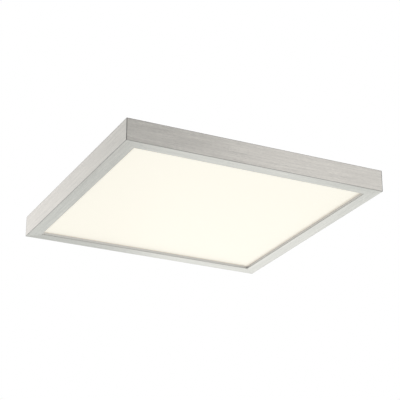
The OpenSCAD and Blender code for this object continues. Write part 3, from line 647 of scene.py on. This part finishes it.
def pvc_jacket(name, ripple_mm=4):
    """Soft white PVC, extruded over two cores: a low sheen, with the slight ripple of the cores."""
    material, tree, shader, place = new_finish(name, Roughness=0.42, IOR=1.52)
    ripple = add_node(
        tree, "ShaderNodeTexNoise", {"Vector": place, "Scale": per_metre(ripple_mm), "Detail": 2.0})
    jacket = settings().leads.jacket
    add_node(
        tree, "ShaderNodeMix",
        {"Factor": ripple, "A": rgba(shade(jacket, 0.93)), "B": rgba(shade(jacket, 1.04))},
        to=shader.inputs["Base Color"], data_type="RGBA")
    add_node(
        tree, "ShaderNodeBump", {"Height": ripple, "Strength": 0.3, "Distance": 0.2 * MM},
        to=shader.inputs["Normal"])
    return material


def white_solder_mask(name, track_mm=2):
    """Gloss white solder mask on an aluminium board, with the copper tracks showing as soft
    steps under it."""
    material, tree, shader, place = new_finish(name, Roughness=0.22, IOR=1.5)
    tracks = add_node(
        tree, "ShaderNodeTexBrick",
        {"Vector": place, "Color1": rgba(linear("#F3F3F0")), "Color2": rgba(linear("#ECECE8")),
         "Mortar": rgba(linear("#DEDED8")), "Scale": rows_per_metre(track_mm), "Mortar Size": 0.04},
        to=shader.inputs["Base Color"])
    add_node(
        tree, "ShaderNodeBump",
        {"Height": tracks.outputs["Fac"], "Strength": 0.2, "Distance": -0.04 * MM},
        to=shader.inputs["Normal"])
    return material


def led_package(name, window_mm=2.2, blur_mm=0.05, skin_mm=0.1):
    """White moulded LED packages. Each has a window of yellow phosphor in its inner face."""
    material, tree, shader, place = new_finish(name, Roughness=0.3, IOR=1.5)
    low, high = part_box("leds_right")
    split = add_node(tree, "ShaderNodeSeparateXYZ", {0: place})
    from_gap = add_node(
        tree, "ShaderNodeMath", {0: split.outputs["Y"], 1: 0.5 * LED_PITCH}, operation="PINGPONG")
    from_led = add_node(
        tree, "ShaderNodeMath", {0: 0.5 * LED_PITCH, 1: from_gap}, operation="SUBTRACT")
    up = add_node(
        tree, "ShaderNodeMath", {0: split.outputs["Z"], 1: 0.5 * (low.z + high.z)},
        operation="SUBTRACT")
    off_level = add_node(tree, "ShaderNodeMath", {0: up}, operation="ABSOLUTE")
    off_centre = add_node(tree, "ShaderNodeMath", {0: from_led, 1: off_level}, operation="MAXIMUM")
    window = add_node(
        tree, "ShaderNodeMapRange",
        {"Value": off_centre, "From Min": (window_mm / 2 - blur_mm) * MM,
         "From Max": (window_mm / 2 + blur_mm) * MM, "To Min": 1.0, "To Max": 0.0})
    outward = add_node(tree, "ShaderNodeMath", {0: split.outputs["X"]}, operation="ABSOLUTE")
    inner_face = add_node(
        tree, "ShaderNodeMath", {0: outward, 1: low.x + skin_mm * MM}, operation="LESS_THAN")
    phosphor = add_node(tree, "ShaderNodeMath", {0: window, 1: inner_face}, operation="MULTIPLY")
    add_node(
        tree, "ShaderNodeMix",
        {"Factor": phosphor, "A": rgba(linear("#F4F2EA")), "B": rgba(linear("#F3D45E"))},
        to=shader.inputs["Base Color"], data_type="RGBA")
    return material


def green_circuit_board(name, track_mm=2.25, weave_mm=0.9):
    """Glass-epoxy board under a gloss green mask, with wide tracks and the weave just visible."""
    material, tree, shader, place = new_finish(name, Roughness=0.25, IOR=1.5)
    add_node(
        tree, "ShaderNodeTexBrick",
        {"Vector": place, "Color1": rgba(linear("#1E6B3A")), "Color2": rgba(linear("#1A6134")),
         "Mortar": rgba(linear("#114A26")), "Scale": rows_per_metre(track_mm), "Mortar Size": 0.06},
        to=shader.inputs["Base Color"])
    weave = add_node(
        tree, "ShaderNodeTexNoise", {"Vector": place, "Scale": per_metre(weave_mm), "Detail": 1.0})
    add_node(
        tree, "ShaderNodeBump", {"Height": weave, "Strength": 0.15, "Distance": 0.03 * MM},
        to=shader.inputs["Normal"])
    return material


def sintered_ferrite(name, grain_mm=0.6):
    """Sintered manganese-zinc ferrite: near black, dull, with a fine stony grain."""
    material, tree, shader, place = new_finish(name, Roughness=0.6)
    grain = add_node(
        tree, "ShaderNodeTexNoise", {"Vector": place, "Scale": per_metre(grain_mm), "Detail": 4.0})
    add_node(
        tree, "ShaderNodeMix",
        {"Factor": grain, "A": rgba(linear("#35363A")), "B": rgba(linear("#56575B"))},
        to=shader.inputs["Base Color"], data_type="RGBA")
    add_node(
        tree, "ShaderNodeBump", {"Height": grain, "Strength": 0.4, "Distance": 0.05 * MM},
        to=shader.inputs["Normal"])
    return material


def polyester_tape(name, lap_mm=2.4):
    """Yellow polyester tape wound over a transformer's coils: glossy, with the lap lines of its
    layers."""
    material, tree, shader, place = new_finish(name, Roughness=0.2, IOR=1.6)
    laps = add_node(
        tree, "ShaderNodeTexWave",
        {"Vector": place, "Scale": bands_per_metre(lap_mm), "Distortion": 1.2, "Detail": 1.0},
        bands_direction="Z")
    add_node(
        tree, "ShaderNodeMix",
        {"Factor": laps.outputs["Fac"], "A": rgba(linear("#DDB024")), "B": rgba(linear("#F2CE4B"))},
        to=shader.inputs["Base Color"], data_type="RGBA")
    return material


def shrink_sleeve(name, stripe_mm=1.2):
    """Dark blue PVC sleeve shrunk on a capacitor's can, with one pale stripe along it."""
    material, tree, shader, place = new_finish(name, Roughness=0.25, IOR=1.52)
    split = add_node(tree, "ShaderNodeSeparateXYZ", {0: place})
    can_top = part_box("capacitors")[1].z
    stripe = add_node(
        tree, "ShaderNodeMath", {0: split.outputs["Z"], 1: can_top - stripe_mm * MM},
        operation="GREATER_THAN")
    add_node(
        tree, "ShaderNodeMix",
        {"Factor": stripe, "A": rgba(linear("#2A3560")), "B": rgba(linear("#B9C0CC"))},
        to=shader.inputs["Base Color"], data_type="RGBA")
    return material


def enamelled_copper(name, turns=36):
    """Enamelled copper wire wound round a ring core: glossy orange brown, with each turn's
    shadow beside it."""
    material, tree, shader, place = new_finish(name, Metallic=1.0, Roughness=0.24)
    low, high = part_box("choke")
    middle = (low + high) / 2
    centred = add_node(tree, "ShaderNodeVectorMath", {0: place, 1: middle}, operation="SUBTRACT")
    split = add_node(tree, "ShaderNodeSeparateXYZ", {0: centred})
    angle = add_node(
        tree, "ShaderNodeMath", {0: split.outputs["Y"], 1: split.outputs["X"]}, operation="ARCTAN2")
    wound = add_node(tree, "ShaderNodeMath", {0: angle, 1: turns}, operation="MULTIPLY")
    wire = add_node(tree, "ShaderNodeMath", {0: wound}, operation="SINE")
    shown = add_node(tree, "ShaderNodeMapRange", {"Value": wire, "From Min": -1.0, "From Max": 1.0})
    add_node(
        tree, "ShaderNodeMix",
        {"Factor": shown, "A": rgba(linear("#7A3D1C")), "B": rgba(linear("#D08A55"))},
        to=shader.inputs["Base Color"], data_type="RGBA")
    add_node(
        tree, "ShaderNodeBump", {"Height": shown, "Strength": 0.8, "Distance": 0.2 * MM},
        to=shader.inputs["Normal"])
    return material


# Leads

# Routes of the two leads, in mm: out of the driver's output terminal, down to the pan and along
# it to the plugs. Corners are rounded over LEAD_BEND. These round tubes stand for the CAD's
# faceted ones.
LEAD_RADIUS = 1.6
LEAD_BEND = 9
LEFT_LEAD = ((76, 99, -11), (86, 99, -11), (105, 99, -17.7), (105, 135, -17.7), (-169, 135, -17.7))
RIGHT_LEAD = ((76, 91, -11), (86, 91, -11), (120, 91, -17.7), (120, 135, -17.7), (169, 135, -17.7))


def rounded_route(points, bend, steps=12):
    """The points of a route, with a smooth curve in place of each corner."""
    places = [Vector(p) for p in points]
    route = [places[0]]
    for before, corner, after in zip(places, places[1:], places[2:]):
        start = corner + (before - corner).normalized() * bend
        end = corner + (after - corner).normalized() * bend
        for k in range(steps + 1):
            t = k / steps
            route.append((1 - t) ** 2 * start + 2 * t * (1 - t) * corner + t * t * end)
    route.append(places[-1])
    return route


def swept_tube(name, route, radius, sides=20):
    """A closed tube of even section along a route in mm, carried on without twisting. The mesh
    itself is in metres."""
    count = len(route)
    across = (route[1] - route[0]).cross(Vector((0, 0, 1))).normalized()
    vertices = []
    for i, place in enumerate(route):
        forward = (route[min(i + 1, count - 1)] - route[max(i - 1, 0)]).normalized()
        across = (across - forward * across.dot(forward)).normalized()
        up = forward.cross(across)
        for k in range(sides):
            turn = 2 * math.pi * k / sides
            point = place + (across * math.cos(turn) + up * math.sin(turn)) * radius
            vertices.append(point * MM)
    faces = [tuple(reversed(range(sides))), tuple((count - 1) * sides + k for k in range(sides))]
    for i in range(count - 1):
        for k in range(sides):
            a, b = i * sides + k, i * sides + (k + 1) % sides
            faces.append((a, b, b + sides, a + sides))
    mesh = bpy.data.meshes.new(name)
    mesh.from_pydata(vertices, [], faces)
    for face in mesh.polygons:
        face.use_smooth = len(face.vertices) == 4
    tube = bpy.data.objects.new(name, mesh)
    bpy.context.scene.collection.objects.link(tube)
    return tube


# Operators

RAILS_ALONG_X = ("frame_front", "frame_back")
RAILS_ALONG_Y = ("frame_left", "frame_right")
CORNER_KEYS = (
    "corner_key_front_left", "corner_key_front_right", "corner_key_back_right", "corner_key_back_left")


class CEILINGLIGHT_OT_frame(bpy.types.Operator):
    """Brush the four mitred rails, each along its own length"""

    bl_idname = "ceiling_light.frame"
    bl_label = "Frame"

    def execute(self, context):
        dress(brushed_nickel("brushed_nickel_across", "X"), *RAILS_ALONG_X)
        dress(brushed_nickel("brushed_nickel_deep", "Y"), *RAILS_ALONG_Y)
        dress(die_cast_zinc("die_cast_zinc"), *CORNER_KEYS)
        return {"FINISHED"}


class CEILINGLIGHT_OT_panel(bpy.types.Operator):
    """Light the opal panel, and finish the sheets behind it"""

    bl_idname = "ceiling_light.panel"
    bl_label = "Panel"

    def execute(self, context):
        dress(lit_opal_acrylic("lit_opal_acrylic"), "diffuser")
        dress(clear_acrylic("clear_acrylic"), "light_guide")
        dress(reflector_film("reflector_film"), "reflector_sheet")
        dress(closed_cell_foam("closed_cell_foam"), "foam_sheet")
        return {"FINISHED"}


class CEILINGLIGHT_OT_led_boards(bpy.types.Operator):
    """Finish the two LED boards, their LEDs, sockets and plugs"""

    bl_idname = "ceiling_light.led_boards"
    bl_label = "LED boards"

    def execute(self, context):
        dress(white_solder_mask("white_solder_mask"), "led_board_left", "led_board_right")
        dress(led_package("led_package"), "leds_left", "leds_right")
        nylon = moulded_plastic("natural_nylon", "#E4E0D2", roughness=0.42, texture_mm=0.5)
        dress(nylon, "led_socket_left", "led_socket_right", "led_plug_left", "led_plug_right")
        return {"FINISHED"}


class CEILINGLIGHT_OT_back_pan(bpy.types.Operator):
    """Coat the back pan, and plate what is fixed to it"""

    bl_idname = "ceiling_light.back_pan"
    bl_label = "Back pan"

    def execute(self, context):
        dress(white_powder_coat("white_powder_coat"), "back_pan", "driver_cover")
        dress(zinc_plated_steel("zinc_plated_steel"), "keeper_left", "keeper_right", "driver_tray",
              "ceiling_plate")
        soften("driver_cover", "keeper_left", "keeper_right")
        return {"FINISHED"}


class CEILINGLIGHT_OT_fasteners(bpy.types.Operator):
    """Plate the screws and rivets"""

    bl_idname = "ceiling_light.fasteners"
    bl_label = "Screws and rivets"

    def execute(self, context):
        dress(plated_screw_steel("plated_screw_steel", "#B9BCBF"), "corner_screws", "pan_screws",
              "board_screws", "driver_screws", "keeper_rivets", "catch_rivets")
        dress(plated_screw_steel("green_passivated_steel", "#5E8F62"), "earth_screw")
        return {"FINISHED"}


class CEILINGLIGHT_OT_driver(bpy.types.Operator):
    """Finish the driver's board and what stands on it"""

    bl_idname = "ceiling_light.driver"
    bl_label = "Driver"

    def execute(self, context):
        dress(green_circuit_board("green_circuit_board"), "driver_board")
        dress(sintered_ferrite("sintered_ferrite"), "transformer_core")
        dress(polyester_tape("polyester_tape"), "transformer_winding")
        dress(shrink_sleeve("shrink_sleeve"), "capacitors")
        dress(enamelled_copper("enamelled_copper"), "choke")
        polyamide = moulded_plastic("orange_polyamide", "#E8842B", roughness=0.38, texture_mm=0.4)
        dress(polyamide, "mains_terminal", "output_terminal")
        return {"FINISHED"}


class CEILINGLIGHT_OT_leads(bpy.types.Operator):
    """Lay the two leads smoothly along their routes, through their clips"""

    bl_idname = "ceiling_light.leads"
    bl_label = "Leads"

    def execute(self, context):
        jacket = pvc_jacket("pvc_jacket")
        for name, points in (("lead_left", LEFT_LEAD), ("lead_right", RIGHT_LEAD)):
            route = rounded_route(points, LEAD_BEND)
            tube = swept_tube(name + "_jacket", route, LEAD_RADIUS)
            tube.data.materials.append(jacket)
            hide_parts(name)
            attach(tube, "lamp")
        nylon = moulded_plastic("clip_nylon", "#E2DECF", roughness=0.48, texture_mm=0.6)
        dress(nylon, "lead_clips")
        return {"FINISHED"}


class CEILINGLIGHT_OT_ceiling_plate(bpy.types.Operator):
    """Finish the springs and the bushing of the ceiling plate"""

    bl_idname = "ceiling_light.ceiling_plate"
    bl_label = "Ceiling plate"

    def execute(self, context):
        dress(tempered_spring_steel("tempered_spring_steel"), "catch_springs_left", "catch_springs_right")
        nylon = moulded_plastic("bushing_nylon", "#EFEDE4", roughness=0.4, texture_mm=0.5)
        dress(nylon, "wire_bushing")
        return {"FINISHED"}


class CEILINGLIGHT_OT_studio(bpy.types.Operator):
    """Add the floor, the lamps and the camera"""

    bl_idname = "ceiling_light.studio"
    bl_label = "Studio"

    def execute(self, context):
        use = settings().studio
        scene = context.scene
        scene.view_settings.view_transform = "Standard"
        white_room(scene, use)
        pale_floor(use)
        for lamp in LAMPS:
            soft_lamp(*lamp)
        for card in CARDS:
            grey_card(*card)
        add_camera(scene, use)
        return {"FINISHED"}


# Studio

# Name, azimuth and elevation in degrees, distance and width in metres, and brightness, where 1 is
# as bright as the white backdrop
LAMPS = (
    ("lamp_over", 40, 55, 2.2, 1.8, 1.4),
    ("lamp_low_right", 59, -24, 0.8, 0.38, 0.36),
    ("lamp_low_far_right", 38, -18, 1.2, 0.5, 0.22),
    ("lamp_left", 114, 25, 1.2, 0.5, 0.22),
    ("lamp_far_left", 71, -3, 1.6, 0.6, 0.5),
)
# The same for each grey card, with its colour at the end
CARDS = (
    ("card_front", -84, 25, 1.0, 0.45, "#A8A8A8"),
    ("card_right", -52, 25, 1.4, 0.3, "#E6E6E6"),
    ("card_left", 134, 25, 1.2, 0.5, "#E4E4E4"),
    ("card_low_left", 92, -46, 0.7, 0.26, "#A8A8A8"),
)


def seen_or_mirrored(tree):
    """Node that is 1 for what the camera sees, straight or in a reflection or through something
    clear, and 0 for light that falls on matt faces."""
    path = add_node(tree, "ShaderNodeLightPath")
    seen = path.outputs["Is Camera Ray"]
    for way in ("Is Glossy Ray", "Is Transmission Ray"):
        seen = add_node(
            tree, "ShaderNodeMath", {0: seen, 1: path.outputs[way]}, operation="MAXIMUM")
    return seen


def white_room(scene, use):
    """A world that is white to the camera and in reflections, and an even light on matt faces."""
    world = bpy.data.worlds.new("room")
    scene.world = world
    world.use_nodes = True
    tree = world.node_tree
    tree.nodes.clear()
    strength = add_node(
        tree, "ShaderNodeMapRange",
        {"Value": seen_or_mirrored(tree), "To Min": use.sky, "To Max": use.backdrop})
    light = add_node(tree, "ShaderNodeBackground", {"Color": (1, 1, 1, 1), "Strength": strength})
    add_node(tree, "ShaderNodeOutputWorld", {"Surface": light})


def square_mesh(name, half, height=0):
    """A flat square mesh round the Z axis, which reaches half its width to each side."""
    mesh = bpy.data.meshes.new(name)
    corners = ((-half, -half), (half, -half), (half, half), (-half, half))
    mesh.from_pydata([(x, y, height) for x, y in corners], [], [(0, 1, 2, 3)])
    return mesh


def pale_floor(use, reach=20, mottle_mm=600):
    """A wide, plain, matt floor far below the light."""
    mesh = square_mesh("floor", reach, -use.floor_drop)
    floor = bpy.data.objects.new("floor", mesh)
    bpy.context.scene.collection.objects.link(floor)
    material, tree, shader, place = new_finish(
        "matt_floor_paint", Roughness=0.9, Emission_Color=rgba(use.floor_colour))
    mottle = add_node(tree, "ShaderNodeTexNoise", {"Vector": place, "Scale": per_metre(mottle_mm)})
    add_node(
        tree, "ShaderNodeMix",
        {"Factor": mottle, "A": rgba(use.floor_colour), "B": rgba(shade(use.floor_colour, 1.01))},
        to=shader.inputs["Base Color"], data_type="RGBA")
    add_node(
        tree, "ShaderNodeMath", {0: seen_or_mirrored(tree), 1: use.floor_lift},
        to=shader.inputs["Emission Strength"], operation="MULTIPLY")
    mesh.materials.append(material)


def faces_light(name, data, azimuth, elevation, distance):
    """Places a lamp or a card on a sphere round the light, turned towards it."""
    azimuth, elevation = math.radians(azimuth), math.radians(elevation)
    out = Vector((
        math.cos(azimuth) * math.cos(elevation), math.sin(azimuth) * math.cos(elevation),
        math.sin(elevation)))
    holder = bpy.data.objects.new(name, data)
    holder.location = out * distance
    holder.rotation_euler = (-out).to_track_quat("-Z", "Y").to_euler()
    holder.visible_camera = False
    bpy.context.scene.collection.objects.link(holder)
    return holder


def soft_lamp(name, azimuth, elevation, distance, width, brightness):
    """A square area lamp."""
    lamp = bpy.data.lights.new(name, "AREA")
    lamp.shape = "SQUARE"
    lamp.size = width
    lamp.energy = brightness * math.pi * width**2
    faces_light(name, lamp, azimuth, elevation, distance)


def grey_card(name, azimuth, elevation, distance, width, colour, fibre_mm=3):
    """A square matt card that only shows in reflections, where it darkens the metal."""
    mesh = square_mesh(name, width / 2)
    material, tree, shader, place = new_finish(f"{name}_paper", Roughness=0.9)
    fibre = add_node(tree, "ShaderNodeTexNoise", {"Vector": place, "Scale": per_metre(fibre_mm)})
    paper = linear(colour)
    add_node(
        tree, "ShaderNodeMix", {"Factor": fibre, "A": rgba(paper), "B": rgba(shade(paper, 0.97))},
        to=shader.inputs["Base Color"], data_type="RGBA")
    mesh.materials.append(material)
    card = faces_light(name, mesh, azimuth, elevation, distance)
    card.visible_diffuse = False
    card.visible_shadow = False


def add_camera(scene, use):
    """The camera, below and in front of the light's left-hand corner, looking up."""
    camera = bpy.data.cameras.new("camera")
    camera.sensor_width = 36
    camera.lens = use.camera_lens
    camera.clip_end = 100
    holder = bpy.data.objects.new("camera", camera)
    holder.matrix_world = (
        Matrix.Translation(use.camera_at)
        @ Matrix.Rotation(use.camera_heading, 4, "Z")
        @ Matrix.Rotation(math.radians(90) + use.camera_tilt, 4, "X")
        @ Matrix.Rotation(use.camera_roll, 4, "Z"))
    scene.collection.objects.link(holder)
    scene.camera = holder


# Panel and registration


class CEILINGLIGHT_PT_finishes(bpy.types.Panel):
    """Buttons for each group of pieces, in the order in which they are made"""

    bl_idname = "CEILINGLIGHT_PT_finishes"
    bl_label = "Ceiling Light"
    bl_space_type = "VIEW_3D"
    bl_region_type = "UI"
    bl_category = "Ceiling Light"

    def draw(self, context):
        for step in STEPS:
            self.layout.operator(step.bl_idname)
        for group in CeilingLightSettings.__annotations__:
            box = self.layout.box()
            values = getattr(context.scene.ceiling_light, group)
            for name in values.__annotations__:
                box.prop(values, name)


STEPS = (
    CEILINGLIGHT_OT_frame,
    CEILINGLIGHT_OT_panel,
    CEILINGLIGHT_OT_led_boards,
    CEILINGLIGHT_OT_back_pan,
    CEILINGLIGHT_OT_fasteners,
    CEILINGLIGHT_OT_driver,
    CEILINGLIGHT_OT_leads,
    CEILINGLIGHT_OT_ceiling_plate,
    CEILINGLIGHT_OT_studio,
)
CLASSES = (
    BrushedNickelSettings,
    OpalPanelSettings,
    SheetMetalSettings,
    LeadSettings,
    StudioSettings,
    CeilingLightSettings,
    *STEPS,
    CEILINGLIGHT_PT_finishes,
)


def register():
    for cls in CLASSES:
        bpy.utils.register_class(cls)
    bpy.types.Scene.ceiling_light = PointerProperty(type=CeilingLightSettings)


def unregister():
    del bpy.types.Scene.ceiling_light
    for cls in reversed(CLASSES):
        bpy.utils.unregister_class(cls)


def main():
    """Registers the add-on and runs each step in order."""
    register()
    bpy.ops.ceiling_light.frame()
    bpy.ops.ceiling_light.panel()
    bpy.ops.ceiling_light.led_boards()
    bpy.ops.ceiling_light.back_pan()
    bpy.ops.ceiling_light.fasteners()
    bpy.ops.ceiling_light.driver()
    bpy.ops.ceiling_light.leads()
    bpy.ops.ceiling_light.ceiling_plate()
    bpy.ops.ceiling_light.studio()


if __name__ == "__main__":
    main()
